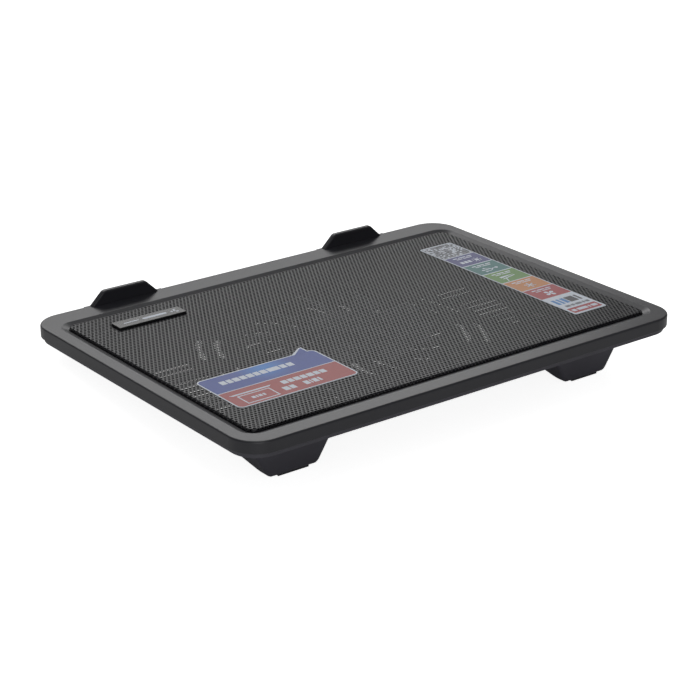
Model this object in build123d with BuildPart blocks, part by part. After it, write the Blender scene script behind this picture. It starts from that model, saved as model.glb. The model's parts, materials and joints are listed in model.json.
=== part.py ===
from build123d import *
import os
from math import asin, atan2, cos, degrees, hypot, radians, sin, tan

os.makedirs("parts", exist_ok=True)

# Laptop cooling pad, millimetres, +Z up, standing on Z = 0.
# Everything is laid out on the deck, the tilted upper face of the pad: deck x runs along the pad,
# deck y runs from the user (front, stoppers) to the rear (tall feet), deck z is normal to the face.

# ---- cover ----
deck_length = 340.0
deck_depth = 245.0
deck_corner = 19.0
band_height = 8.0
band_wall = 2.0
deck_skin = 3.0
edge_round = 1.2
lip_round = 0.5
side_bezel = 14.0
front_bezel = 23.0
rear_bezel = 17.0
slope_run = 5.3
slope_drop = 1.8

# ---- stoppers that hold the laptop on the slope ----
stopper_spacing = 188.8
stopper_shift = 5.7
stopper_top = 32.0
stopper_base = 51.2
stopper_height = 9.2
stopper_thickness = 4.0
stopper_root = 4.0
stopper_flare = 7.0
stopper_tip_round = 4.0
stopper_edge_round = 1.1

# ---- perforated sheet ----
sheet = 0.5
mesh_corner = 5.5
mesh_gap = 0.4
mesh_flange = 3.0
mesh_round = 1.2

# ---- bottom shell ----
seam_gap = 0.2
shell_skin = 1.8
shell_drop = 3.2
shell_wall = 1.0
shell_wall_height = 2.4
tray_inset = 22.4
tray_drop = 21.6
tray_corner = 9.0
tray_round = 1.5
rib_wall = 1.6
post_radius = 3.0
post_inset_x = 52.0
post_inset_y = 26.0

# ---- vents in the bottom shell ----
vent_length = 30.0
vent_width = 5.2
vent_pitch = 7.75
vent_count = 10
vent_side_gap = 17.5
swirl_count = 18
swirl_inner_share = 0.56
swirl_outer_gap = 7.0
swirl_twist = 11.0
swirl_bow = 0.3
swirl_start = 3.0
swirl_width = 5.6
arc_gaps = (11.0, 23.0)
arc_starts = (-27.0, 8.0, 40.0)
arc_span = 22.0
arc_width = 4.5

# ---- fan ----
fan_y = -14.0
arm_margin = 15.1
arm_end_radius = 4.0
arm_end_height = 3.0
fan_top_gap = 5.8
strut_width = 5.0
strut_thickness = 1.8
motor_margin = 2.5
hub_radius = 19.5
hub_skin = 1.5
rotor_gap = 0.8
blade_count = 9
blade_tip_gap = 13.0
blade_root_pitch = 42.0
blade_tip_pitch = 24.0
blade_thickness = 1.5
blade_sweep = 16.0
shaft_radius = 1.5
shaft_clearance = 0.03
bearing_radius = 3.0
bearing_tube = 1.3
bearing_rise = 0.6
board_thickness = 1.2
magnet_thickness = 2.0
air_gap = 0.6
core_share = 0.48
coil_share = 0.19
core_rim = 2.2
tooth_width = 2.8
pole_gap = 1.6

# ---- lamps around the fan ----
lamp_radius = 1.5
lamp_length = 6.0
lamp_flange = 0.6
lamp_proud = 2.2
lamp_ring_gap = 7.5
lamp_post_width = 7.0
lamp_post_thickness = 2.0
lamp_post_rise = 3.0

# ---- feet ----
foot_side_gap = 1.95
foot_bottom = 34.8
foot_side_slope = 30.4
foot_front_slope = 19.4
foot_drop = 41.0
foot_inset = 30.0
foot_draft = 1.0
foot_flat = 5.0
foot_corner = 6.0
foot_round = 2.5
foot_screw_inset = 14.0
foot_screw_half = 12.0
foot_screw_grip = 4.8
rear_pad_length = 22.0
rear_pad_width = 4.0
rear_pad_depth = 1.4
rear_pad_setback = 2.9
pad_proud = 0.5
front_pad_radius = 7.0
front_pad_height = 1.6
front_pad_inset = 14.0

# ---- USB sockets, their board and the inner lead ----
socket_width = 13.1
socket_height = 5.7
socket_depth = 14.0
socket_skin = 0.4
socket_pitch = 18.0
socket_y = 46.0
socket_gap = 0.25
tongue_width = 10.6
tongue_thickness = 1.8
tongue_length = 9.0
usb_board_length = 32.0
usb_board_width = 38.0
usb_board_thickness = 1.6
standoff_height = 1.2
standoff_radius = 2.6
standoff_margin = 1.0
plug_size = 7.0
plug_height = 5.0
plug_round = 0.6
lead_radius = 1.1
lead_bend = 9.0
lead_straight = 14.0
lead_fall = 12.0
lead_run = 12.0

# ---- screws ----
case_screw_side = 6.5
case_screw_front = 11.0
case_screw_rear = 7.6
case_screw_corner = 22.0
screw_radius = 1.15
screw_head_radius = 2.3
screw_head_height = 1.3
boss_radius = 3.1
boss_roof = 1.2
screw_slack = 0.05
hole_slack = 0.25

# ---- labels and badge ----
badge_length = 50.5
badge_width = 11.0
badge_thickness = 1.6
badge_corner = 1.0
badge_chamfer = 0.3
badge_side_gap = 23.0
badge_front_gap = 16.5
label_thickness = 0.2
feature_front_gap = 23.5
feature_width = 28.0
feature_corner = 1.5
feature_side_gap = 13.0
feature_rear_gap = 22.5
callout_length = 87.5
callout_width = 48.0
callout_corner = 4.0
callout_side_gap = 13.0
callout_rear_gap = 29.5
callout_tail = 7.0
callout_tail_tip = 2.0
callout_tail_root = 12.0

# ---- places worked out from the values above ----
mesh_length = deck_length - 2 * side_bezel
mesh_depth = deck_depth - front_bezel - rear_bezel
mesh_y = (front_bezel - rear_bezel) / 2
mesh_drop = deck_skin + sheet
rim_length = mesh_length + 2 * mesh_flange
rim_depth = mesh_depth + 2 * mesh_flange
rim_corner = mesh_corner + mesh_flange
tray_length = deck_length - 2 * tray_inset
tray_depth = deck_depth - 2 * tray_inset
floor_z = shell_skin - tray_drop
flange_z = -band_height - shell_drop
shelf_z = flange_z + shell_skin
frame_top = -sheet - fan_top_gap
frame_height = frame_top - floor_z
arm_reach = tray_depth / 2 + fan_y - arm_margin
motor_radius = hub_radius - motor_margin
blade_tip = arm_reach - blade_tip_gap
lamp_ring = arm_reach - lamp_ring_gap
swirl_inner = swirl_inner_share * arm_reach
swirl_outer = arm_reach - swirl_outer_gap
foot_outer_top = tray_length / 2 - foot_side_gap
foot_side_run = (foot_drop - tray_drop) * tan(radians(foot_side_slope))
foot_x = foot_outer_top - foot_side_run - foot_bottom / 2
foot_y = deck_depth / 2 - foot_inset
rear_pad_y = foot_y - rear_pad_setback
front_pad_x = tray_length / 2 - front_pad_inset - front_pad_radius
front_pad_y = front_pad_inset - tray_depth / 2
front_pad_z = -tray_drop - front_pad_height

# The pad stands on the rear pads and the front pads, so their drops set the deck's tilt.
stance = foot_y - front_pad_y
rise = foot_drop + front_pad_z
tilt = atan2(rise, stance) + asin(pad_proud / hypot(stance, rise))
deck_origin_y = (stopper_height - band_height) * sin(tilt) / 2
deck_origin_z = pad_proud + foot_drop * cos(tilt) - foot_y * sin(tilt)
deck = Plane(origin=(0, deck_origin_y, deck_origin_z), x_dir=(1, 0, 0), z_dir=(0, -sin(tilt), cos(tilt)))
deck_up = Axis(deck.origin, deck.z_dir)


def place(x, y, z):
    """A point given in deck coordinates."""
    return deck.from_local_coords(Vector(x, y, z))


def level(z):
    """The plane parallel to the deck at height z."""
    return deck.offset(z)


def upright(y):
    """The plane across the deck at y: sketch x is deck x, sketch y is deck z, its normal faces the user."""
    return Plane(origin=place(0, y, 0), x_dir=deck.x_dir, z_dir=-deck.y_dir)


def sideways(x):
    """The plane along deck y at x: sketch x is deck y, sketch y is deck z, its normal is deck x."""
    return Plane(origin=place(x, 0, 0), x_dir=deck.y_dir, z_dir=deck.x_dir)


def radial(radius, angle, z):
    """The plane square to a spoke of the fan: sketch x is tangential, sketch y is deck z."""
    spoke = Vector(cos(radians(angle)), sin(radians(angle)), 0)
    origin = place(radius * spoke.X, fan_y + radius * spoke.Y, z)
    normal = deck.x_dir * spoke.X + deck.y_dir * spoke.Y
    return Plane(origin=origin, x_dir=deck.y_dir * spoke.X - deck.x_dir * spoke.Y, z_dir=normal)


def about_fan(radius, angle):
    """The deck x and y of a point at this radius and angle about the fan's axis."""
    return (radius * cos(radians(angle)), fan_y + radius * sin(radians(angle)))


def finish(piece, name):
    """Labels a piece and writes it."""
    piece.part.label = name
    export_step(piece.part, f"parts/{name}.step")


case_screw_row = deck_length / 2 - case_screw_corner
case_screw_points = [(x, case_screw_front - deck_depth / 2) for x in (-case_screw_row, 0, case_screw_row)]
case_screw_points += [(x, deck_depth / 2 - case_screw_rear) for x in (-case_screw_row, 0, case_screw_row)]
case_screw_points += [(x, 0) for x in (case_screw_side - deck_length / 2, deck_length / 2 - case_screw_side)]
arm_points = [(-arm_reach, fan_y), (arm_reach, fan_y), (0, fan_y - arm_reach), (0, fan_y + arm_reach)]

# ---------------- top cover: bezel, side band and the two stoppers, one moulding ----------------
with BuildPart(deck) as top_cover:
    with BuildSketch(level(0)):
        RectangleRounded(deck_length, deck_depth, deck_corner)
    extrude(amount=-band_height)
    fillet(top_cover.faces().sort_by(deck_up)[-1].edges(), edge_round)
    fillet(top_cover.faces().sort_by(deck_up)[0].edges(), lip_round)
    with BuildSketch(level(-deck_skin)):
        RectangleRounded(deck_length - 2 * band_wall, deck_depth - 2 * band_wall, deck_corner - band_wall)
    extrude(amount=deck_skin - band_height, mode=Mode.SUBTRACT)
    with BuildSketch(level(0)):
        with Locations((0, mesh_y)):
            RectangleRounded(mesh_length + 2 * slope_run, mesh_depth + 2 * slope_run, mesh_corner + slope_run)
    with BuildSketch(level(-slope_drop)):
        with Locations((0, mesh_y)):
            RectangleRounded(mesh_length + 2 * mesh_gap, mesh_depth + 2 * mesh_gap, mesh_corner + mesh_gap)
    loft(mode=Mode.SUBTRACT)
    with BuildSketch(level(-slope_drop)):
        with Locations((0, mesh_y)):
            RectangleRounded(mesh_length + 2 * mesh_gap, mesh_depth + 2 * mesh_gap, mesh_corner + mesh_gap)
    extrude(amount=slope_drop - deck_skin, mode=Mode.SUBTRACT)
    for centre in (stopper_shift - stopper_spacing / 2, stopper_shift + stopper_spacing / 2):
        with BuildSketch(upright(-deck_depth / 2)) as stopper_profile:
            with BuildLine():
                Polyline(
                    (centre - stopper_base / 2 - stopper_root, -edge_round - lip_round),
                    (centre - stopper_base / 2 - stopper_root, 0),
                    (centre - stopper_base / 2, 0),
                    (centre - stopper_top / 2, stopper_height),
                    (centre + stopper_top / 2, stopper_height),
                    (centre + stopper_base / 2, 0),
                    (centre + stopper_base / 2 + stopper_root, 0),
                    (centre + stopper_base / 2 + stopper_root, -edge_round - lip_round),
                    close=True,
                )
            make_face()
            corners = stopper_profile.vertices().group_by(Axis.Y)
            fillet(corners[-1], stopper_tip_round)
            fillet(corners[1].sort_by(Axis.X)[1:3], stopper_flare)
        extrude(amount=-stopper_thickness)
    rims = top_cover.edges().filter_by_position(deck_up, edge_round, stopper_height + 1)
    fillet(rims.filter_by(lambda rim: abs((rim @ 0.5 - rim @ 0).dot(deck.y_dir)) < 0.01), stopper_edge_round)
    with BuildSketch(level(-deck_skin)):
        with Locations(*case_screw_points):
            Circle(boss_radius)
    extrude(amount=shelf_z + deck_skin)
    with BuildSketch(level(shelf_z)):
        with Locations(*case_screw_points):
            Circle(screw_radius + screw_slack)
    extrude(amount=-shelf_z - boss_roof, mode=Mode.SUBTRACT)
finish(top_cover, "top_cover")

# ---------------- perforated sheet: a shallow pan with a flange caught under the bezel ----------------
with BuildPart(deck) as mesh_grille:
    with BuildSketch(level(0)):
        with Locations((0, mesh_y)):
            RectangleRounded(mesh_length, mesh_depth, mesh_corner)
    extrude(amount=-mesh_drop)
    fillet(mesh_grille.faces().sort_by(deck_up)[-1].edges(), mesh_round)
    with BuildSketch(level(-deck_skin)):
        with Locations((0, mesh_y)):
            RectangleRounded(rim_length, rim_depth, rim_corner)
    extrude(amount=-sheet)
    with BuildSketch(level(-sheet)):
        with Locations((0, mesh_y)):
            RectangleRounded(mesh_length - 2 * sheet, mesh_depth - 2 * sheet, mesh_corner - sheet)
    extrude(amount=-mesh_drop, mode=Mode.SUBTRACT)
finish(mesh_grille, "mesh_grille")

# ---------------- bottom shell: flange, tray, vents, mesh supports, screw holes ----------------
shell_inset = band_wall + seam_gap
shell_length = deck_length - 2 * shell_inset
shell_depth = deck_depth - 2 * shell_inset
shell_corner = deck_corner - shell_inset
post_x = tray_length / 2 - post_inset_x
post_y = tray_depth / 2 - post_inset_y
vent_x = tray_length / 2 - vent_side_gap - vent_length / 2
socket_points = [socket_y - socket_pitch / 2, socket_y + socket_pitch / 2]
usb_board_z = floor_z + standoff_height
socket_z = usb_board_z + usb_board_thickness
usb_board_x = shell_skin - tray_length / 2 + seam_gap
standoff_x = usb_board_x + usb_board_length - standoff_radius - standoff_margin
standoff_points = [
    (standoff_x, socket_y + side * (usb_board_width / 2 - standoff_radius - standoff_margin))
    for side in (-1, 1)
]
foot_screw_row = foot_y - foot_screw_inset
foot_screw_points = [(side * foot_x - foot_screw_half, foot_screw_row) for side in (-1, 1)]
foot_screw_points += [(side * foot_x + foot_screw_half, foot_screw_row) for side in (-1, 1)]
with BuildPart(deck) as bottom_shell:
    with BuildSketch(level(flange_z)):
        RectangleRounded(shell_length, shell_depth, shell_corner)
    extrude(amount=shell_skin + shell_wall_height)
    fillet(bottom_shell.faces().sort_by(deck_up)[0].edges(), lip_round)
    with BuildSketch(level(shelf_z)):
        RectangleRounded(shell_length - 2 * shell_wall, shell_depth - 2 * shell_wall, shell_corner - shell_wall)
    extrude(amount=shell_wall_height, mode=Mode.SUBTRACT)
    with BuildSketch(level(-tray_drop)):
        RectangleRounded(tray_length, tray_depth, tray_corner)
    extrude(amount=tray_drop + flange_z)
    fillet(bottom_shell.faces().sort_by(deck_up)[0].edges(), tray_round)
    with BuildSketch(level(floor_z)):
        RectangleRounded(tray_length - 2 * shell_skin, tray_depth - 2 * shell_skin, tray_corner - shell_skin)
    extrude(amount=tray_drop, mode=Mode.SUBTRACT)
    with BuildSketch(level(shelf_z)):
        with Locations((0, mesh_y)):
            RectangleRounded(rim_length, rim_depth, rim_corner)
            RectangleRounded(
                rim_length - 2 * rib_wall, rim_depth - 2 * rib_wall, rim_corner - rib_wall, mode=Mode.SUBTRACT
            )
    extrude(amount=-mesh_drop - shelf_z)
    with BuildSketch(level(floor_z)):
        with Locations(*[(x, y) for x in (-post_x, post_x) for y in (-post_y, post_y)]):
            Circle(post_radius)
    extrude(amount=-sheet - floor_z)
    with BuildSketch(level(floor_z)):
        with Locations(*standoff_points):
            Circle(standoff_radius)
    extrude(amount=standoff_height)
    with BuildSketch(level(floor_z)):
        for side in (-1, 1):
            with Locations((side * vent_x, fan_y + vent_pitch)):
                with GridLocations(vent_length, vent_pitch, 1, vent_count):
                    SlotOverall(vent_length, vent_width)
        for turn in range(swirl_count):
            angle = 360 / swirl_count * turn + swirl_start
            with BuildLine(mode=Mode.PRIVATE) as swirl:
                ThreePointArc(
                    about_fan(swirl_inner, angle),
                    about_fan((swirl_inner + swirl_outer) / 2, angle + swirl_bow * swirl_twist),
                    about_fan(swirl_outer, angle + swirl_twist),
                )
            SlotArc(swirl.edge(), swirl_width)
        for gap in arc_gaps:
            for start in arc_starts:
                for turned in (start, start + 180):
                    with BuildLine(mode=Mode.PRIVATE) as curve:
                        CenterArc((0, fan_y), arm_reach + gap, turned - arc_span / 2, arc_span)
                    SlotArc(curve.edge(), arc_width)
    extrude(amount=-shell_skin, mode=Mode.SUBTRACT)
    with BuildSketch(level(shelf_z)):
        with Locations(*case_screw_points):
            Circle(screw_radius + hole_slack)
    extrude(amount=-shell_skin, mode=Mode.SUBTRACT)
    with BuildSketch(level(floor_z)):
        with Locations(*arm_points, *foot_screw_points):
            Circle(screw_radius + hole_slack)
    extrude(amount=-shell_skin, mode=Mode.SUBTRACT)
    with BuildSketch(level(usb_board_z)):
        with Locations(*standoff_points):
            Circle(screw_radius + screw_slack)
    extrude(amount=-standoff_height - shell_skin / 2, mode=Mode.SUBTRACT)
    with BuildSketch(sideways(-tray_length / 2)):
        with Locations(*[(y, socket_z + socket_height / 2) for y in socket_points]):
            Rectangle(socket_width + 2 * socket_gap, socket_height + 2 * socket_gap)
    extrude(amount=shell_skin, mode=Mode.SUBTRACT)
finish(bottom_shell, "bottom_shell")

# ---------------- rear feet: wedges with a near-upright back and a long front slope ----------------
foot_slope = radians(foot_front_slope)
foot_front_z = foot_flat * sin(tilt) - foot_drop
foot_front_y = foot_y - foot_flat * cos(tilt)
foot_toe_y = foot_front_y - (-tray_drop - foot_front_z) / tan(foot_slope)
rear_pad_row = deck_origin_y + rear_pad_y * cos(tilt) + foot_drop * sin(tilt)
for name, side in (("rear_foot_left", -1), ("rear_foot_right", 1)):
    foot_screws = [point for point in foot_screw_points if point[0] * side > 0]
    with BuildPart(deck) as rear_foot:
        with BuildSketch(upright(foot_y + foot_draft)) as foot_face:
            with BuildLine():
                Polyline(
                    (side * foot_x - foot_bottom / 2 - foot_side_run, -tray_drop),
                    (side * foot_x + foot_bottom / 2 + foot_side_run, -tray_drop),
                    (side * foot_x + foot_bottom / 2, -foot_drop),
                    (side * foot_x - foot_bottom / 2, -foot_drop),
                    close=True,
                )
            make_face()
            fillet(foot_face.vertices().group_by(Axis.Y)[0], foot_corner)
        extrude(amount=foot_y + foot_draft - foot_toe_y)
        with BuildSketch(sideways(side * foot_x)):
            with BuildLine():
                Polyline(
                    (foot_y + foot_draft, -tray_drop),
                    (foot_y, -foot_drop),
                    (foot_front_y, foot_front_z),
                    (foot_toe_y, -tray_drop),
                    close=True,
                )
            make_face()
        extrude(amount=foot_bottom / 2 + foot_side_run, both=True, mode=Mode.INTERSECT)
        back = rear_foot.faces().sort_by(Axis(deck.origin, deck.y_dir))[-1]
        fillet(back.edges().filter_by_position(deck_up, -foot_drop - 1, -tray_drop - 1), foot_round)
        with BuildSketch(level(-tray_drop)):
            with Locations(*foot_screws):
                Circle(screw_radius + screw_slack)
        extrude(amount=-foot_screw_grip - hole_slack, mode=Mode.SUBTRACT)
        with BuildSketch(Plane.XY.offset(pad_proud)):
            with Locations((side * foot_x, rear_pad_row)):
                Rectangle(rear_pad_length, rear_pad_width)
        extrude(amount=rear_pad_depth, mode=Mode.SUBTRACT)
    finish(rear_foot, name)

# ---------------- rubber pads ----------------
for name, side in (("rear_pad_left", -1), ("rear_pad_right", 1)):
    with BuildPart() as rear_pad:
        with BuildSketch(Plane.XY):
            with Locations((side * foot_x, rear_pad_row)):
                Rectangle(rear_pad_length, rear_pad_width)
        extrude(amount=pad_proud + rear_pad_depth)
    finish(rear_pad, name)

for name, side in (("front_pad_left", -1), ("front_pad_right", 1)):
    with BuildPart(deck) as front_pad:
        with BuildSketch(level(-tray_drop)):
            with Locations((side * front_pad_x, front_pad_y)):
                Circle(front_pad_radius)
        extrude(amount=-2 * front_pad_height)
        split(bisect_by=Plane.XY, keep=Keep.TOP)
    finish(front_pad, name)

# ---------------- fan base: motor plate, crossing arms, screw ends, lamp posts, tube ----------------
plate_top = floor_z + strut_thickness
tube_radius = bearing_radius + bearing_tube
tube_top = frame_top - hub_skin - 2 * rotor_gap
lamp_z = floor_z + frame_height / 2
post_height = lamp_z + lamp_post_rise - floor_z
lead_y = fan_y + arm_end_radius + lead_radius + seam_gap
with BuildPart(deck) as fan_base:
    with BuildSketch(level(floor_z)):
        with Locations((0, fan_y)):
            Circle(motor_radius)
            Rectangle(2 * arm_reach, strut_width)
            Rectangle(strut_width, 2 * arm_reach)
    extrude(amount=strut_thickness)
    with BuildSketch(level(floor_z)):
        with Locations(*arm_points):
            Circle(arm_end_radius)
    extrude(amount=arm_end_height)
    with BuildSketch(level(plate_top)):
        with Locations((0, fan_y)):
            Circle(tube_radius)
    extrude(amount=tube_top - plate_top)
    with BuildSketch(level(tube_top)):
        with Locations((0, fan_y)):
            Circle(bearing_radius)
    extrude(amount=plate_top - tube_top, mode=Mode.SUBTRACT)
    with BuildSketch(level(floor_z)):
        with Locations(*arm_points):
            Circle(screw_radius + screw_slack)
    extrude(amount=arm_end_height, mode=Mode.SUBTRACT)
    for quarter in range(4):
        with BuildSketch(radial(lamp_ring, 90 * quarter, floor_z + post_height / 2)):
            Rectangle(lamp_post_width, post_height)
        extrude(amount=lamp_post_thickness)
        with BuildSketch(radial(lamp_ring, 90 * quarter, lamp_z)):
            Circle(lamp_radius + screw_slack)
        extrude(amount=lamp_post_thickness, mode=Mode.SUBTRACT)
finish(fan_base, "fan_base")

# ---------------- motor: bearing, winding core, coils, circuit board ----------------
bearing_bottom = plate_top + bearing_rise
with BuildPart(deck) as fan_bearing:
    with BuildSketch(level(bearing_bottom)):
        with Locations((0, fan_y)):
            Circle(bearing_radius)
            Circle(shaft_radius + shaft_clearance, mode=Mode.SUBTRACT)
    extrude(amount=tube_top - bearing_bottom)
finish(fan_bearing, "fan_bearing")

stack_height = frame_top - hub_skin - plate_top - board_thickness
core_height = core_share * stack_height
coil_wall = coil_share * stack_height
magnet_inner = hub_radius - hub_skin - magnet_thickness
core_radius = magnet_inner - air_gap
core_bottom = (plate_top + board_thickness + frame_top - hub_skin - core_height) / 2
coil_start = tube_radius + core_rim
coil_end = core_radius - core_rim
coil_reach = (coil_end**2 - (tooth_width / 2 + coil_wall) ** 2) ** 0.5 - seam_gap
with BuildPart(deck) as fan_board:
    with BuildSketch(level(plate_top)):
        with Locations((0, fan_y)):
            Circle(motor_radius - seam_gap)
            Circle(tube_radius + screw_slack, mode=Mode.SUBTRACT)
    extrude(amount=board_thickness)
finish(fan_board, "fan_board")

with BuildPart(deck) as stator_core:
    with BuildSketch(level(core_bottom)):
        with Locations((0, fan_y)):
            Circle(core_radius)
            Circle(coil_end, mode=Mode.SUBTRACT)
            Rectangle(2 * core_radius, pole_gap, rotation=45, mode=Mode.SUBTRACT)
            Rectangle(2 * core_radius, pole_gap, rotation=-45, mode=Mode.SUBTRACT)
            Rectangle(2 * coil_end + core_rim, tooth_width)
            Rectangle(tooth_width, 2 * coil_end + core_rim)
            Circle(coil_start)
            Circle(tube_radius + screw_slack, mode=Mode.SUBTRACT)
    extrude(amount=core_height)
finish(stator_core, "stator_core")

for number in range(4):
    with BuildPart() as coil:
        with BuildSketch(radial(coil_start + seam_gap, 90 * number, core_bottom + core_height / 2)):
            RectangleRounded(tooth_width + 2 * coil_wall, core_height + 2 * coil_wall, coil_wall / 2)
            Rectangle(tooth_width, core_height, mode=Mode.SUBTRACT)
        extrude(amount=coil_reach - coil_start - seam_gap)
    finish(coil, f"stator_coil_{number + 1}")

# ---------------- rotor: hub cup with swept blades, magnet ring and shaft ----------------
hub_top = frame_top - seam_gap
hub_bottom = plate_top + rotor_gap
blade_low = plate_top + 1.2 * rotor_gap
blade_high = hub_top - rotor_gap
blade_height = blade_high - blade_low
root_chord = (blade_height - blade_thickness) / sin(radians(blade_root_pitch))
tip_chord = (blade_height - blade_thickness) / sin(radians(blade_tip_pitch))
with BuildPart(deck) as fan_rotor:
    with BuildSketch(level(hub_bottom)):
        with Locations((0, fan_y)):
            Circle(hub_radius)
    extrude(amount=hub_top - hub_bottom)
    fillet(fan_rotor.faces().sort_by(deck_up)[-1].edges(), hub_skin)
    for number in range(blade_count):
        angle = 360 / blade_count * number
        with BuildSketch(radial(hub_radius - hub_skin, angle, (blade_low + blade_high) / 2)):
            SlotOverall(root_chord, blade_thickness, rotation=blade_root_pitch)
        with BuildSketch(radial(blade_tip, angle + blade_sweep, (blade_low + blade_high) / 2)):
            SlotOverall(tip_chord, blade_thickness, rotation=blade_tip_pitch)
        loft()
    with BuildSketch(level(hub_bottom)):
        with Locations((0, fan_y)):
            Circle(hub_radius - hub_skin)
    extrude(amount=hub_top - hub_skin - hub_bottom, mode=Mode.SUBTRACT)
    with BuildSketch(level(hub_top - hub_skin)):
        with Locations((0, fan_y)):
            Circle(shaft_radius)
    extrude(amount=hub_skin / 2, mode=Mode.SUBTRACT)
finish(fan_rotor, "fan_rotor")

with BuildPart(deck) as rotor_magnet:
    with BuildSketch(level(core_bottom - rotor_gap)):
        with Locations((0, fan_y)):
            Circle(hub_radius - hub_skin)
            Circle(magnet_inner, mode=Mode.SUBTRACT)
    extrude(amount=core_height + 2 * rotor_gap)
finish(rotor_magnet, "rotor_magnet")

with BuildPart(deck) as fan_shaft:
    with BuildSketch(level(bearing_bottom + seam_gap)):
        with Locations((0, fan_y)):
            Circle(shaft_radius)
    extrude(amount=hub_top - hub_skin / 2 - bearing_bottom - seam_gap)
finish(fan_shaft, "fan_shaft")

# ---------------- lamps that light the fan from its four sides ----------------
for name, angle in (("lamp_right", 0), ("lamp_rear", 90), ("lamp_left", 180), ("lamp_front", 270)):
    with BuildPart() as lamp:
        with BuildSketch(radial(lamp_ring - lamp_proud, angle, lamp_z)):
            Circle(lamp_radius)
        extrude(amount=lamp_length)
        nose = lamp.faces().filter_by(GeomType.PLANE).sort_by_distance(place(0, fan_y, lamp_z))[0]
        fillet(nose.edges(), lamp_radius - lamp_flange / 2)
        with BuildSketch(radial(lamp_ring + lamp_post_thickness, angle, lamp_z)):
            Circle(lamp_radius + lamp_flange)
        extrude(amount=lamp_flange)
    finish(lamp, name)

# ---------------- USB sockets, their board, the fan plug and its lead ----------------
socket_mouth = -tray_length / 2
for number, y in enumerate(socket_points, 1):
    with BuildPart() as socket:
        with BuildSketch(sideways(socket_mouth)):
            with Locations((y, socket_z + socket_height / 2)):
                RectangleRounded(socket_width, socket_height, socket_skin)
        extrude(amount=socket_depth)
        with BuildSketch(sideways(socket_mouth)):
            with Locations((y, socket_z + socket_height / 2)):
                Rectangle(socket_width - 2 * socket_skin, socket_height - 2 * socket_skin)
        extrude(amount=socket_depth - socket_skin, mode=Mode.SUBTRACT)
    finish(socket, f"usb_socket_{number}")
    with BuildPart() as tongue:
        with BuildSketch(sideways(socket_mouth + socket_depth - socket_skin)):
            with Locations((y, socket_z + socket_height - socket_skin - tongue_thickness)):
                Rectangle(tongue_width, tongue_thickness)
        extrude(amount=-tongue_length)
    finish(tongue, f"usb_tongue_{number}")

with BuildPart(deck) as usb_board:
    with BuildSketch(level(usb_board_z)):
        with Locations((usb_board_x + usb_board_length / 2, socket_y)):
            Rectangle(usb_board_length, usb_board_width)
        with Locations(*standoff_points):
            Circle(screw_radius + hole_slack, mode=Mode.SUBTRACT)
    extrude(amount=usb_board_thickness)
finish(usb_board, "usb_board")

plug_face = usb_board_x + usb_board_length
with BuildPart(deck) as fan_plug:
    with BuildSketch(level(socket_z)):
        with Locations((plug_face - plug_size / 2, socket_y)):
            Rectangle(plug_size, plug_size)
    extrude(amount=plug_height)
    fillet(fan_plug.edges().filter_by(deck_up), plug_round)
finish(fan_plug, "fan_plug")

lead_z = floor_z + lead_radius
with BuildPart() as fan_lead:
    with BuildLine() as route:
        FilletPolyline(
            place(plug_face, socket_y, socket_z + plug_height / 2),
            place(plug_face + lead_straight, socket_y, socket_z + plug_height / 2),
            place(plug_face + lead_straight + lead_fall, (socket_y + lead_y) / 2, lead_z),
            place(-arm_reach - lead_run, lead_y, lead_z),
            place(-motor_radius - seam_gap, lead_y, lead_z),
            radius=lead_bend,
        )
    with BuildSketch(route.wire() ^ 0):
        Circle(lead_radius)
    sweep()
finish(fan_lead, "fan_lead")


# ---------------- screws ----------------
def screws(name, points, seat, length, up):
    """Cross-headed screws whose heads stand on the plane at height seat, above it where up is 1."""
    with BuildPart(deck) as screw:
        with BuildSketch(level(seat)):
            with Locations(*points):
                Circle(screw_head_radius)
        extrude(amount=up * screw_head_height)
        with BuildSketch(level(seat)):
            with Locations(*points):
                Circle(screw_radius)
        extrude(amount=-up * length)
        with BuildSketch(level(seat + up * screw_head_height)):
            with Locations(*points):
                Rectangle(2 * screw_radius, screw_radius / 2)
                Rectangle(screw_radius / 2, 2 * screw_radius)
        extrude(amount=-up * screw_head_height / 2, mode=Mode.SUBTRACT)
    finish(screw, name)


screws("case_screws", case_screw_points, flange_z, -flange_z - 1.5 * boss_roof, -1)
screws("fan_screws", arm_points, -tray_drop, shell_skin + arm_end_height - seam_gap, -1)
screws("foot_screws", foot_screw_points, floor_z, shell_skin + foot_screw_grip, 1)
screws("board_screws", standoff_points, socket_z, usb_board_thickness + standoff_height, 1)

# ---------------- badge and labels on the perforated sheet ----------------
mesh_side = mesh_length / 2
mesh_rear = mesh_y + mesh_depth / 2
mesh_front = mesh_y - mesh_depth / 2
badge_x = mesh_side - badge_side_gap - badge_length / 2
badge_y = mesh_front + badge_front_gap + badge_width / 2
with BuildPart(deck) as badge_plate:
    with BuildSketch(level(0)):
        with Locations((badge_x, badge_y)):
            RectangleRounded(badge_length, badge_width, badge_corner)
    extrude(amount=badge_thickness)
    chamfer(badge_plate.faces().sort_by(deck_up)[-1].edges(), badge_chamfer)
finish(badge_plate, "badge_plate")

feature_x = feature_side_gap + feature_width / 2 - mesh_side
feature_length = mesh_depth - feature_rear_gap - feature_front_gap
feature_y = mesh_rear - feature_rear_gap - feature_length / 2
with BuildPart(deck) as feature_label:
    with BuildSketch(level(0)):
        with Locations((feature_x, feature_y)):
            RectangleRounded(feature_width, feature_length, feature_corner)
    extrude(amount=label_thickness)
finish(feature_label, "feature_label")

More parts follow.
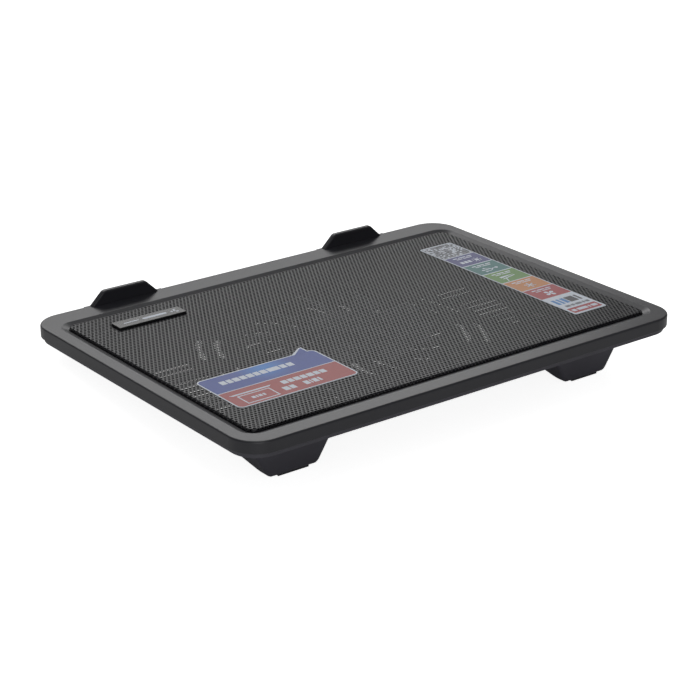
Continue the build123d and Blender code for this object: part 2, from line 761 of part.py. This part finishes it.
callout_x = mesh_side - callout_side_gap - callout_length / 2
callout_y = mesh_rear - callout_rear_gap - callout_width / 2
tail_x = callout_x - callout_length / 2 + callout_corner
tail_y = callout_y - callout_width / 2
with BuildPart(deck) as callout_label:
    with BuildSketch(level(0)):
        with Locations((callout_x, callout_y)):
            RectangleRounded(callout_length, callout_width, callout_corner)
        with BuildLine():
            Polyline(
                (tail_x, tail_y + callout_tail_tip),
                (tail_x, tail_y - callout_tail),
                (tail_x + callout_tail_tip, tail_y - callout_tail),
                (tail_x + callout_tail_root, tail_y),
                (tail_x + callout_tail_root, tail_y + callout_tail_tip),
                close=True,
            )
        make_face()
    extrude(amount=label_thickness)
finish(callout_label, "callout_label")
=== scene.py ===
import json
import math
import random

import bmesh
import bpy
from mathutils import Matrix, Vector


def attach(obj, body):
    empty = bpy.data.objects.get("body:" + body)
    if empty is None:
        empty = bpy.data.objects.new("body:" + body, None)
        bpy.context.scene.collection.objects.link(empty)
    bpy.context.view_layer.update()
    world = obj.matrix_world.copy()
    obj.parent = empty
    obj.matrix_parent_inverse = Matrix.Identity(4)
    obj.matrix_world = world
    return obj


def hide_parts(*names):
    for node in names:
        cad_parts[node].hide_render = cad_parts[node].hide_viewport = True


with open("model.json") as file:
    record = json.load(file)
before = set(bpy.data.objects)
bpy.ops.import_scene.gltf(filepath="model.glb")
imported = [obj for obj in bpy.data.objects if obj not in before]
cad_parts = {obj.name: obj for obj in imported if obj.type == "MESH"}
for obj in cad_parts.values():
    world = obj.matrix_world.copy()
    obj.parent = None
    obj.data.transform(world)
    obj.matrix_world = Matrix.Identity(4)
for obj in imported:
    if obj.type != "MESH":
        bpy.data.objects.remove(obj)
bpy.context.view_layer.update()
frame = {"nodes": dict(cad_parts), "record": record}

# Deck frame, in millimetres: x along the pad, y from the user to the rear, z normal to the deck.
# The fan turns about a deck normal, so its joint says where the deck is.
fan_at = Vector((0, -14.0, -13.05))
deck_centre_y = 3.0
spin = frame["record"]["behaviour"]["joints"][0]
deck_x = Vector((1, 0, 0))
deck_z = Vector(spin["axis"]).normalized()
deck_y = deck_z.cross(deck_x)
turn = Matrix((deck_x, deck_y, deck_z)).transposed()
mm = 0.001
deck_origin = Vector(spin["pos_m"]) - turn @ (fan_at * mm)
to_row = Matrix.Translation(deck_origin) @ turn.to_4x4() @ Matrix.Scale(mm, 4)


def srgb(red, green, blue):
    """A screen colour from 0 to 255 as the linear colour a shader takes."""
    linear = lambda c: c / 12.92 if c <= 0.04045 else ((c + 0.055) / 1.055) ** 2.4
    return tuple(linear(c / 255) for c in (red, green, blue)) + (1,)


def shade(colour, by):
    return tuple(min(1.0, c * by) for c in colour[:3]) + (1,)


# ---------------- materials ----------------
def surface(
    name,
    colour,
    rough,
    metallic=0.0,
    spread=0.18,
    patch=60.0,
    grain=1800.0,
    depth=0.00002,
    coat=0.0,
    stretch=(1, 1, 1),
    specular=0.5,
):
    """A moulded, painted or metal surface: mottled colour, uneven gloss and a fine grain in its relief."""
    made = bpy.data.materials.new(name)
    made.use_nodes = True
    nodes, links = made.node_tree.nodes, made.node_tree.links
    shader = nodes["Principled BSDF"]
    shader.inputs["Metallic"].default_value = metallic
    shader.inputs["Coat Weight"].default_value = coat
    shader.inputs["Specular IOR Level"].default_value = specular
    where = nodes.new("ShaderNodeTexCoord")
    mapping = nodes.new("ShaderNodeMapping")
    mapping.inputs["Scale"].default_value = stretch
    links.new(where.outputs["Object"], mapping.inputs["Vector"])
    mottle = nodes.new("ShaderNodeTexNoise")
    mottle.inputs["Scale"].default_value = patch
    mottle.inputs["Detail"].default_value = 6
    links.new(mapping.outputs["Vector"], mottle.inputs["Vector"])
    tint = nodes.new("ShaderNodeValToRGB")
    tint.color_ramp.elements[0].position = 0.3
    tint.color_ramp.elements[0].color = shade(colour, 1 - spread)
    tint.color_ramp.elements[1].position = 0.7
    tint.color_ramp.elements[1].color = shade(colour, 1 + spread)
    links.new(mottle.outputs["Fac"], tint.inputs["Fac"])
    links.new(tint.outputs["Color"], shader.inputs["Base Color"])
    fine = nodes.new("ShaderNodeTexNoise")
    fine.inputs["Scale"].default_value = grain
    fine.inputs["Detail"].default_value = 3
    links.new(mapping.outputs["Vector"], fine.inputs["Vector"])
    gloss = nodes.new("ShaderNodeMapRange")
    gloss.inputs["To Min"].default_value = max(0.03, rough - 0.07)
    gloss.inputs["To Max"].default_value = min(1.0, rough + 0.07)
    links.new(fine.outputs["Fac"], gloss.inputs["Value"])
    links.new(gloss.outputs["Result"], shader.inputs["Roughness"])
    relief = nodes.new("ShaderNodeBump")
    relief.inputs["Strength"].default_value = 1.0
    relief.inputs["Distance"].default_value = depth
    links.new(fine.outputs["Fac"], relief.inputs["Height"])
    links.new(relief.outputs["Normal"], shader.inputs["Normal"])
    return made


def printed(name, colour, glow=None, glow_at=(0, 0), reach=0.02):
    """Printed film: faint specks and a smooth sheen, with a lighter spot at glow_at where glow is given."""
    made = surface(name, colour, 0.36, spread=0.05, patch=400.0, grain=5000.0, depth=4e-6, specular=0.3)
    if glow:
        nodes, links = made.node_tree.nodes, made.node_tree.links
        where = next(n for n in nodes if n.type == "TEX_COORD")
        tint = next(n for n in nodes if n.type == "VALTORGB")
        span = nodes.new("ShaderNodeVectorMath")
        span.operation = "DISTANCE"
        span.inputs[1].default_value = to_row @ Vector((*glow_at, 0))
        links.new(where.outputs["Object"], span.inputs[0])
        fade = nodes.new("ShaderNodeMapRange")
        fade.interpolation_type = "SMOOTHSTEP"
        fade.inputs["From Max"].default_value = reach
        fade.inputs["To Min"].default_value = 1
        fade.inputs["To Max"].default_value = 0
        links.new(span.outputs["Value"], fade.inputs["Value"])
        mix = nodes.new("ShaderNodeMix")
        mix.data_type = "RGBA"
        mix.inputs["B"].default_value = glow
        links.new(fade.outputs["Result"], mix.inputs["Factor"])
        links.new(tint.outputs["Color"], mix.inputs["A"])
        links.new(mix.outputs["Result"], nodes["Principled BSDF"].inputs["Base Color"])
    return made


recipes = {
    "black_plastic": ((36, 36, 41), 0.36, dict(spread=0.06, grain=2600.0, depth=0.00001)),
    # painted light: a lighter copy of the black plastic, standing in for the light on the bottom shell and
    # rear feet
    "shell_plastic_painted_light": ((60, 59, 67), 0.45, dict(spread=0.08, grain=2200.0, depth=0.00002)),
    "black_mesh": ((30, 30, 34), 0.36, dict(specular=0.32, spread=0.1, grain=3000.0, depth=0.00001)),
    "pad_rubber": ((42, 42, 46), 0.8, dict(spread=0.12, grain=1500.0, depth=0.00003)),
    "base_plastic": ((40, 40, 42), 0.5, dict(spread=0.08)),
    "blade_plastic": ((200, 202, 210), 0.3, dict(spread=0.06, grain=900.0, depth=0.000008)),
    "magnet_iron": ((70, 70, 72), 0.6, dict(metallic=0.6)),
    "steel": ((190, 190, 192), 0.25, dict(metallic=1.0, spread=0.05, stretch=(1, 1, 12))),
    "bearing_bronze": ((170, 128, 80), 0.4, dict(metallic=1.0, spread=0.12, grain=2500.0)),
    "circuit_board": ((28, 92, 52), 0.35, dict(spread=0.15, patch=300.0, coat=0.3)),
    "core_iron": ((120, 120, 124), 0.4, dict(metallic=0.9, spread=0.1)),
    "copper_wire": (
        (184, 98, 52),
        0.3,
        dict(metallic=0.9, spread=0.12, grain=3500.0, depth=0.00006, stretch=(1, 1, 6)),
    ),
    "lamp_lens": ((196, 212, 232), 0.12, dict(spread=0.03, coat=0.5)),
    "socket_metal": ((200, 200, 202), 0.22, dict(metallic=1.0, spread=0.05)),
    "tongue_plastic": ((232, 232, 230), 0.45, dict(spread=0.03)),
    "plug_plastic": ((226, 224, 214), 0.45, dict(spread=0.04)),
    "lead_sleeve": ((24, 24, 25), 0.5, dict(spread=0.1)),
    "screw_steel": ((58, 58, 60), 0.35, dict(metallic=0.8, spread=0.12)),
    "badge_black": ((20, 20, 22), 0.28, dict(spread=0.08, grain=4000.0, depth=0.000006)),
}
looks = {name: surface(name, srgb(*colour), rough, **more) for name, (colour, rough, more) in recipes.items()}
looks["label_paper"] = printed("label_paper", srgb(190, 197, 208))
for row in frame["record"]["subparts"]:
    node = frame["nodes"][row["node"]]
    node.data.materials.clear()
    node.data.materials.append(looks[row["material_slot"]])
# The bottom shell and rear feet are the black plastic; they get the lighter copy, which paints light onto
# these lower parts.
for name in ("bottom_shell", "rear_foot_left", "rear_foot_right"):
    frame["nodes"][name].data.materials[0] = looks["shell_plastic_painted_light"]

inks = {
    "white": printed("ink_white", srgb(206, 213, 224)),
    "blue": printed("ink_blue", srgb(36, 66, 150), srgb(34, 122, 200), (97, 33), 0.022),
    "red": printed("ink_red", srgb(158, 54, 54)),
    "brick": printed("ink_brick", srgb(160, 52, 58)),
    "orange": printed("ink_orange", srgb(192, 126, 70)),
    "green": printed("ink_green", srgb(94, 138, 66)),
    "teal": printed("ink_teal", srgb(44, 110, 108)),
    "indigo": printed("ink_indigo", srgb(62, 64, 122)),
    "grey": printed("ink_grey", srgb(112, 116, 124)),
    "dark": printed("ink_dark", srgb(58, 60, 68)),
    "sky": printed("ink_sky", srgb(70, 130, 190)),
}
ink_order = list(inks)


# ---------------- mesh helpers, all in deck millimetres ----------------
def make(name, bm, materials, body="pad", replaces=(), smooth_angle=35):
    """Turns a bmesh in deck millimetres into a piece that rides on a body."""
    bmesh.ops.recalc_face_normals(bm, faces=bm.faces)
    bm.transform(to_row)
    mesh = bpy.data.meshes.new(name)
    bm.to_mesh(mesh)
    bm.free()
    for face in mesh.polygons:
        face.use_smooth = True
    mesh.set_sharp_from_angle(angle=math.radians(smooth_angle))
    for one in materials:
        mesh.materials.append(one)
    piece = bpy.data.objects.new(name, mesh)
    bpy.context.scene.collection.objects.link(piece)
    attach(piece, body)
    if replaces:
        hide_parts(*replaces)
    return piece


def slab(bm, outline, low, high, ink=0):
    """A closed plate over a flat outline."""
    base = [bm.verts.new((x, y, low)) for x, y in outline]
    top = [bm.verts.new((x, y, high)) for x, y in outline]
    faces = [bm.faces.new(top), bm.faces.new(base[::-1])]
    for i in range(len(outline)):
        j = (i + 1) % len(outline)
        faces.append(bm.faces.new((base[i], base[j], top[j], top[i])))
    for face in faces:
        face.material_index = ink


def turned(points, centre, degrees):
    c, s = math.cos(math.radians(degrees)), math.sin(math.radians(degrees))
    return [(centre[0] + x * c - y * s, centre[1] + x * s + y * c) for x, y in points]


def box_outline(x, y, length, width, corner=0.0, turn=0.0, steps=5):
    """A rectangle about (x, y), with rounded corners where corner is given."""
    if corner <= 0:
        half_l, half_w = length / 2, width / 2
        points = [(-half_l, -half_w), (half_l, -half_w), (half_l, half_w), (-half_l, half_w)]
    else:
        points = []
        for quarter, (sx, sy) in enumerate(((1, 1), (-1, 1), (-1, -1), (1, -1))):
            for step in range(steps + 1):
                a = math.pi / 2 * (quarter + step / steps)
                across = sx * (length / 2 - corner) + corner * math.cos(a)
                along = sy * (width / 2 - corner) + corner * math.sin(a)
                points.append((across, along))
    return turned(points, (x, y), turn)


def disc_outline(x, y, radius, steps=20):
    angles = [2 * math.pi * i / steps for i in range(steps)]
    return [(x + radius * math.cos(a), y + radius * math.sin(a)) for a in angles]


def frame_outline(bm, x, y, length, width, line, low, high, ink):
    """Four strips round a rectangle."""
    slab(bm, box_outline(x, y + width / 2 - line / 2, length, line), low, high, ink)
    slab(bm, box_outline(x, y - width / 2 + line / 2, length, line), low, high, ink)
    slab(bm, box_outline(x - length / 2 + line / 2, y, line, width - 2 * line), low, high, ink)
    slab(bm, box_outline(x + length / 2 - line / 2, y, line, width - 2 * line), low, high, ink)


block_corner = 0.3


def blocks(bm, x, y, lengths, height, gap, low, high, ink):
    """A row of plain blocks centred on x, standing for a line of print."""
    at = x - (sum(lengths) + gap * (len(lengths) - 1)) / 2
    for length in lengths:
        corner = min(block_corner, height / 3)
        slab(bm, box_outline(at + length / 2, y, length, height, corner, steps=2), low, high, ink)
        at += length + gap


# ---------------- perforated sheet ----------------
half_x, half_y = 156.0, 102.5
fold_round = 1.2
corner_inner = 5.5 - fold_round
pan_depth = 3.0
flange = 3.0
plate = 0.5
hole_pitch, hole_row = 2.69, 2.33
hole_top, hole_bottom = 0.95, 0.86
bend_end = fold_round * math.pi / 2
wall_end = bend_end + pan_depth - fold_round
last_hole = wall_end - 0.35
panel_split = 52
rim_start = 225


def beyond(x, y):
    """How far a point of the flat blank lies outside the flat top, and which way out is."""
    qx = abs(x) - (half_x - fold_round - corner_inner)
    qy = abs(y) - (half_y - fold_round - corner_inner)
    sx, sy = math.copysign(1, x), math.copysign(1, y)
    if qx > 0 and qy > 0:
        span = math.hypot(qx, qy)
        return span - corner_inner, (sx * qx / span, sy * qy / span)
    if qx > qy:
        return qx - corner_inner, (sx, 0)
    return qy - corner_inner, (0, sy)


def folded(x, y, depth):
    """Where a point of the flat blank goes once the edge is pressed down: depth is how far under the skin."""
    s, (nx, ny) = beyond(x, y)
    if s <= 0:
        return x, y + deck_centre_y, -depth
    fold = min(s / fold_round, math.pi / 2)
    out = fold_round * math.sin(fold)
    down = fold_round * (1 - math.cos(fold)) + min(max(0, s - bend_end), wall_end - bend_end)
    side, up = math.sin(fold), math.cos(fold)
    if s > wall_end - 0.01:
        side, up = (1, 1) if s < wall_end + 0.01 else (0, 1)
        out += s - wall_end
    x0, y0 = x - s * nx, y - s * ny
    return x0 + nx * (out - depth * side), y0 + ny * (out - depth * side) + deck_centre_y, -down - depth * up


def sheet():
    """The flat blank with its staggered round holes, cut along the bend lines; it is folded, given its
    thickness and split into three panels after this.
    """
    flat = bmesh.new()
    lattice = {}

    def corner(i, j):
        if (i, j) not in lattice:
            lattice[i, j] = flat.verts.new((i * hole_pitch / 2, j * hole_row / 2, 0))
        return lattice[i, j]

    around = ((-1, -1), (0, -1), (1, -1), (1, 0), (1, 1), (0, 1), (-1, 1), (-1, 0))
    rows = int(half_y / hole_row) + 3
    columns = int(half_x / hole_pitch) + 3
    for row in range(-rows, rows + 1):
        for column in range(-columns, columns + 1):
            i, j = 2 * column + row % 2, 2 * row
            reaches = [beyond((i + a) * hole_pitch / 2, (j + b) * hole_row / 2)[0] for a, b in around]
            if max(reaches) > last_hole:
                continue
            outer = [corner(i + a, j + b) for a, b in around]
            x, y = i * hole_pitch / 2, j * hole_row / 2
            angles = [math.radians(rim_start + 45 * k) for k in range(8)]
            rim = [flat.verts.new((x + hole_top * math.cos(t), y + hole_top * math.sin(t), 0)) for t in angles]
            for k in range(8):
                n = (k + 1) % 8
                flat.faces.new((outer[k], outer[n], rim[n], rim[k]))
    known = set(lattice.values())
    stepped = [e for e in flat.edges if e.is_boundary and e.verts[0] in known and e.verts[1] in known]
    loops = []
    for reach in (wall_end, wall_end + flange):
        corner_round = corner_inner + reach
        length, width = 2 * (half_x - fold_round + reach), 2 * (half_y - fold_round + reach)
        outline = box_outline(0, 0, length, width, corner_round, steps=10)
        points = []
        for k, (ax, ay) in enumerate(outline):
            bx, by = outline[(k + 1) % len(outline)]
            parts = 100 if math.hypot(bx - ax, by - ay) > 50 else 1
            for p in range(parts):
                points.append(flat.verts.new((ax + (bx - ax) * p / parts, ay + (by - ay) * p / parts, 0)))
        loops.append(points)
    ring = [flat.edges.new((a, b)) for a, b in zip(loops[0], loops[0][1:] + loops[0][:1])]
    bmesh.ops.triangle_fill(flat, use_beauty=True, edges=stepped + ring)
    for k in range(len(loops[0])):
        n = (k + 1) % len(loops[0])
        flat.faces.new((loops[0][k], loops[1][k], loops[1][n], loops[0][n]))
    for cut in (0.0, bend_end / 3, 2 * bend_end / 3, bend_end):
        for axis, half in (((1, 0, 0), half_x), ((0, 1, 0), half_y)):
            for side in (-1, 1):
                at = Vector(axis) * side * (half - fold_round + cut)
                everything = flat.verts[:] + flat.edges[:] + flat.faces[:]
                bmesh.ops.bisect_plane(flat, geom=everything, plane_co=at, plane_no=axis, dist=1e-5)
    bmesh.ops.recalc_face_normals(flat, faces=flat.faces)
    if sum(f.normal.z for f in list(flat.faces)[:50]) < 0:
        bmesh.ops.reverse_faces(flat, faces=flat.faces)
    return flat


def under(x, y):
    """The same point on the underside: hole rims draw in, because a punched hole tapers."""
    j = round(y / hole_row)
    i = round((x / hole_pitch) - 0.5 * (j % 2)) + 0.5 * (j % 2)
    cx, cy = i * hole_pitch, j * hole_row
    if math.hypot(x - cx, y - cy) > hole_top + 0.01:
        return x, y
    by = hole_bottom / hole_top
    return cx + (x - cx) * by, cy + (y - cy) * by


flat = sheet()
flat.verts.ensure_lookup_table()
far_out = 1000
panels = {
    "grille_left": (-far_out, -panel_split),
    "grille_middle": (-panel_split, panel_split),
    "grille_right": (panel_split, far_out),
}
for name, (low_x, high_x) in panels.items():
    points, faces, top, bottom = [], [], {}, {}
    edge_count = {}
    chosen = [f for f in flat.faces if low_x <= f.calc_center_bounds().x < high_x]
    for face in chosen:
        for v in face.verts:
            if v.index not in top:
                x, y = v.co.x, v.co.y
                top[v.index] = len(points)
                points.append(folded(x, y, 0))
                bottom[v.index] = len(points)
                points.append(folded(*under(x, y), plate))
        loop = [v.index for v in face.verts]
        faces.append([top[i] for i in loop])
        faces.append([bottom[i] for i in reversed(loop)])
        for a, b in zip(loop, loop[1:] + loop[:1]):
            if (b, a) in edge_count:
                edge_count.pop((b, a))
            else:
                edge_count[a, b] = True
    for a, b in edge_count:
        faces.append([top[b], top[a], bottom[a], bottom[b]])
    mesh = bpy.data.meshes.new(name)
    mesh.from_pydata([to_row @ Vector(p) for p in points], [], faces)
    mesh.update()
    for face in mesh.polygons:
        face.use_smooth = True
    mesh.set_sharp_from_angle(angle=math.radians(35))
    mesh.materials.append(looks["black_mesh"])
    piece = bpy.data.objects.new(name, mesh)
    bpy.context.scene.collection.objects.link(piece)
    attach(piece, "pad")
    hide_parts("mesh_grille")
flat.free()

# ---------------- feature strip ----------------
film_top = 0.2
cell_top = 0.215
print_top = 0.23
cell_low = film_top - 0.05
head_low = film_top - 0.01
print_low = cell_top - 0.01
strip_x, strip_y, strip_width, strip_length = -129.0, 3.5, 28.0, 159.0
strip_border = 0.8
bm = bmesh.new()
ink = {name: index for index, name in enumerate(ink_order)}
slab(bm, box_outline(strip_x, strip_y, strip_width, strip_length, 1.5), 0.0, film_top, ink["white"])
cells = (
    ("brick", 31.5, 50.0),
    ("orange", 11.5, 30.5),
    ("green", -9.0, 10.5),
    ("teal", -29.5, -10.0),
    ("indigo", -49.5, -30.5),
    ("grey", -74.8, -50.5),
)
for name, y0, y1 in cells:
    cell = box_outline(strip_x, (y0 + y1) / 2, strip_width - 2 * strip_border, y1 - y0)
    slab(bm, cell, cell_low, cell_top, ink[name])
    if name != "grey":
        blocks(bm, strip_x, y0 + 3.2, (4.5, 6.5, 3.5), 1.3, 0.9, print_low, print_top, ink["white"])
        blocks(bm, strip_x, y0 + 5.6, (7.5, 5.0), 1.0, 0.9, print_low, print_top, ink["white"])


def put(outline, colour="white"):
    slab(bm, outline, print_low, print_top, ink[colour])


# fan sign
sign_blade = [(0.6, 0.2), (1.7, -0.7), (3.4, -0.9), (4.3, 0.2), (4.0, 1.5), (2.8, 2.0), (1.4, 1.4)]
for k in range(4):
    put(turned(sign_blade, (strip_x, 43.5), 90 * k + 20))
put(disc_outline(strip_x, 43.5, 0.8, 12))
# frost sign
for k in range(3):
    put(box_outline(strip_x, 24.0, 8.4, 0.8, turn=60 * k + 30))
for k in range(6):
    for lean in (-35, 35):
        a = math.radians(60 * k + 30)
        x, y = strip_x + 3.1 * math.cos(a), 24.0 + 3.1 * math.sin(a)
        put(box_outline(x, y, 1.9, 0.6, turn=60 * k + 30 + lean))
# slanted laptop sign
put(box_outline(strip_x + 0.3, 3.2, 12.5, 0.9, turn=12))
put(box_outline(strip_x + 4.6, 6.6, 6.0, 0.8, turn=68))
put([(strip_x - 6.4, 0.2), (strip_x + 6.6, 0.2), (strip_x + 6.6, 2.6)])
# plug-in sign
put(box_outline(strip_x, -16.8, 11.0, 0.8))
put(disc_outline(strip_x - 5.6, -16.8, 1.3, 14))
put([(strip_x + 5.4, -18.0), (strip_x + 7.6, -16.8), (strip_x + 5.4, -15.6)])
put(box_outline(strip_x - 1.0, -15.4, 4.2, 0.7, turn=40))
put(box_outline(strip_x + 2.6, -13.9, 3.4, 0.7))
put(box_outline(strip_x + 5.0, -13.9, 1.7, 1.7))
put(box_outline(strip_x + 0.4, -18.2, 4.2, 0.7, turn=-40))
put(disc_outline(strip_x + 3.2, -19.7, 0.9, 12))
# lamp sign
put(disc_outline(strip_x - 5.5, -37.0, 1.7, 16))
for k in range(8):
    a = math.radians(45 * k)
    put(box_outline(strip_x - 5.5 + 3.1 * math.cos(a), -37.0 + 3.1 * math.sin(a), 1.4, 0.6, turn=45 * k))
blocks(bm, strip_x + 4.2, -37.0, (2.4, 2.4, 2.6), 3.6, 0.8, print_low, print_top, ink["white"])
# speckled square, a plain pattern that encodes nothing
random.seed(7)
for i in range(17):
    for j in range(15):
        if random.random() < 0.5:
            tone = "white" if random.random() < 0.55 else "dark"
            put(box_outline(strip_x - 12.0 + 1.5 * i, -73.3 + 1.53 * j, 1.3, 1.3), tone)
# head of the strip: red bar, a dark line, and two blocks of print
slab(bm, box_outline(strip_x, 76.8, 24.5, 8.4, 0.8), cell_low, cell_top, ink["brick"])
blocks(bm, strip_x, 76.8, (4.6, 1.4, 8.6, 3.2), 3.4, 1.2, print_low, print_top, ink["white"])
blocks(bm, strip_x - 1.0, 68.8, (3.0, 2.0, 5.4, 2.8, 4.2), 3.0, 0.8, head_low, cell_top, ink["grey"])
blocks(bm, strip_x - 5.4, 59.8, (1.8, 7.0), 8.8, 1.4, head_low, cell_top, ink["dark"])
blocks(bm, strip_x + 5.6, 59.8, (3.0, 2.0, 2.6), 8.8, 1.3, head_low, cell_top, ink["sky"])
make("feature_strip", bm, [inks[n] for n in ink_order], replaces=("feature_label",))

# ---------------- callout ----------------
call_x, call_y, call_length, call_width, call_corner = 99.25, 52.0, 87.5, 48.0, 4.0
tail_x = call_x - call_length / 2 + call_corner
tail_y = call_y - call_width / 2
bm = bmesh.new()
outer = box_outline(call_x, call_y, call_length, call_width, call_corner, steps=8)
tail = [(tail_x, tail_y - 7), (tail_x + 2, tail_y - 7), (tail_x + 12, tail_y)]
cut = next(i for i in range(len(outer)) if outer[i][1] < tail_y + 0.001 and outer[i][0] < call_x)
outline = outer[: cut + 1] + tail + outer[cut + 1 :]
slab(bm, outline, 0.0, film_top, ink["white"])
border = 0.9
left_edge, right_edge = call_x - call_length / 2 + border, call_x + call_length / 2 - border
inner_length, inner_width = call_length - 2 * border, call_width - 2 * border
inner = box_outline(call_x, call_y, inner_length, inner_width, call_corner - border, steps=8)
split_low, split_high = 51.2, 52.0
red_part = [(x, y) for x, y in inner if y > split_high]
blue_part = [(x, y) for x, y in inner if y < split_low]
red_part += [(left_edge, split_high), (right_edge, split_high)]
blue_part += [(right_edge, split_low), (left_edge, split_low)]
slab(bm, red_part, cell_low, cell_top, ink["red"])
slab(bm, blue_part, cell_low, cell_top, ink["blue"])
tail_fill = [(1.0, 1.2), (1.0, -5.9), (1.8, -5.9), (10.6, 1.2)]
slab(bm, [(tail_x + x, tail_y + y) for x, y in tail_fill], cell_low, cell_top, ink["blue"])
callout_lines = (
    (86.0, 39.0, (4.4, 4.0, 4.4), 5.2, 0.9),
    (112.5, 39.0, (4.2, 4.4, 3.8, 4.4, 4.0, 4.4, 3.6, 4.0), 5.2, 0.8),
    (85.0, 68.0, (1.6, 3.4, 1.0, 3.4), 5.2, 0.9),
    (85.5, 59.5, (4.0, 3.6, 4.4, 3.8, 4.2, 3.6, 4.0), 4.8, 0.8),
    (102.0, 68.0, (3.6, 4.0), 5.2, 0.9),
)
for x, y, lengths, height, gap in callout_lines:
    blocks(bm, x, y, lengths, height, gap, print_low, print_top, ink["white"])
frame_outline(bm, 123.5, 67.0, 23.0, 12.4, 0.9, print_low, print_top, ink["white"])
put([(108.5, 57.8), (138.5, 57.8), (136.5, 59.4), (110.5, 59.4)])
blocks(bm, 123.5, 67.0, (1.6, 2.4, 1.0, 2.4), 3.0, 0.7, print_low, print_top, ink["white"])
make("callout", bm, [inks[n] for n in ink_order], replaces=("callout_label",))

# ---------------- badge print ----------------
bm = bmesh.new()
badge_x, badge_y, badge_top, raised = 107.75, -77.5, 1.6, 0.05
mark = (badge_x - 19.0, badge_y)
mark_blade = [(1.0, 0.2), (1.9, -0.6), (2.9, -0.2), (3.1, 0.8), (2.2, 1.3)]
shapes = [disc_outline(*mark, 0.8, 14)] + [turned(mark_blade, mark, 120 * k) for k in range(3)]
shapes.append(box_outline(badge_x - 4.0, badge_y, 18.0, 2.6, 1.2))
shapes.append(box_outline(badge_x + 13.5, badge_y, 11.0, 1.1, 0.5))
for shape in shapes:
    slab(bm, shape, badge_top - raised, badge_top + raised)
make("badge_print", bm, [inks["white"]])

# ---------------- floor, light, camera ----------------
floor_mesh = bpy.data.meshes.new("floor")
reach, below = 6, -0.0002
corners = [(-reach, -reach, below), (reach, -reach, below), (reach, reach, below), (-reach, reach, below)]
floor_mesh.from_pydata(corners, [], [(0, 1, 2, 3)])
floor = bpy.data.objects.new("floor", floor_mesh)
bpy.context.scene.collection.objects.link(floor)
paper = surface("floor_paper", srgb(250, 250, 250), 0.9, spread=0.005, patch=4.0, grain=300.0, depth=0.00001)
nodes, links = paper.node_tree.nodes, paper.node_tree.links
sheen = nodes["Principled BSDF"]
sheen.inputs["Specular IOR Level"].default_value = 0.1
sheen.inputs["Emission Color"].default_value = (1, 1, 1, 1)
ray = nodes.new("ShaderNodeLightPath")
lift = nodes.new("ShaderNodeMapRange")
lift.inputs["To Min"].default_value = 0.02
lift.inputs["To Max"].default_value = 0.86
links.new(ray.outputs["Is Camera Ray"], lift.inputs["Value"])
links.new(lift.outputs["Result"], sheen.inputs["Emission Strength"])
floor_mesh.materials.append(paper)

world = bpy.data.worlds.new("studio")
bpy.context.scene.world = world
world.use_nodes = True
nodes, links = world.node_tree.nodes, world.node_tree.links
sky = nodes["Background"]
ray = nodes.new("ShaderNodeLightPath")
level = nodes.new("ShaderNodeMapRange")
level.inputs["To Min"].default_value = 0.22
level.inputs["To Max"].default_value = 1.0
links.new(ray.outputs["Is Camera Ray"], level.inputs["Value"])
links.new(level.outputs["Result"], sky.inputs["Strength"])
sky.inputs["Color"].default_value = (1, 1, 1, 1)


def softbox(name, place, aim, size, power):
    lamp = bpy.data.lights.new(name, "AREA")
    lamp.shape = "RECTANGLE"
    lamp.size, lamp.size_y = size
    lamp.energy = power
    holder = bpy.data.objects.new(name, lamp)
    holder.location = place
    holder.rotation_euler = (Vector(aim) - Vector(place)).to_track_quat("-Z", "Y").to_euler()
    bpy.context.scene.collection.objects.link(holder)


softbox("key", (-0.72, -1.83, 0.96), (0, 0, 0), (1.95, 0.74), 12)
softbox("top", (0.1, -0.2, 1.9), (0, 0, 0), (1.4, 1.4), 8)
softbox("low", (1.0, 1.9, 0.5), (0, 0, 0), (1.2, 0.8), 9)

camera_data = bpy.data.cameras.new("camera")
camera = bpy.data.objects.new("camera", camera_data)
bpy.context.scene.collection.objects.link(camera)
camera_data.sensor_width = 36
camera_data.lens = 103.83
camera_data.clip_start = 0.05
eye = to_row @ Vector((741.8, 959.93, 466.31))
aim = to_row @ Vector((37.61, 42.61, 0))
ahead = (aim - eye).normalized()
right = ahead.cross(deck_z).normalized()
up = right.cross(ahead)
camera.matrix_world = Matrix.Translation(eye) @ Matrix((right, up, -ahead)).transposed().to_4x4()
bpy.context.scene.camera = camera
bpy.context.scene.view_settings.view_transform = "Standard"
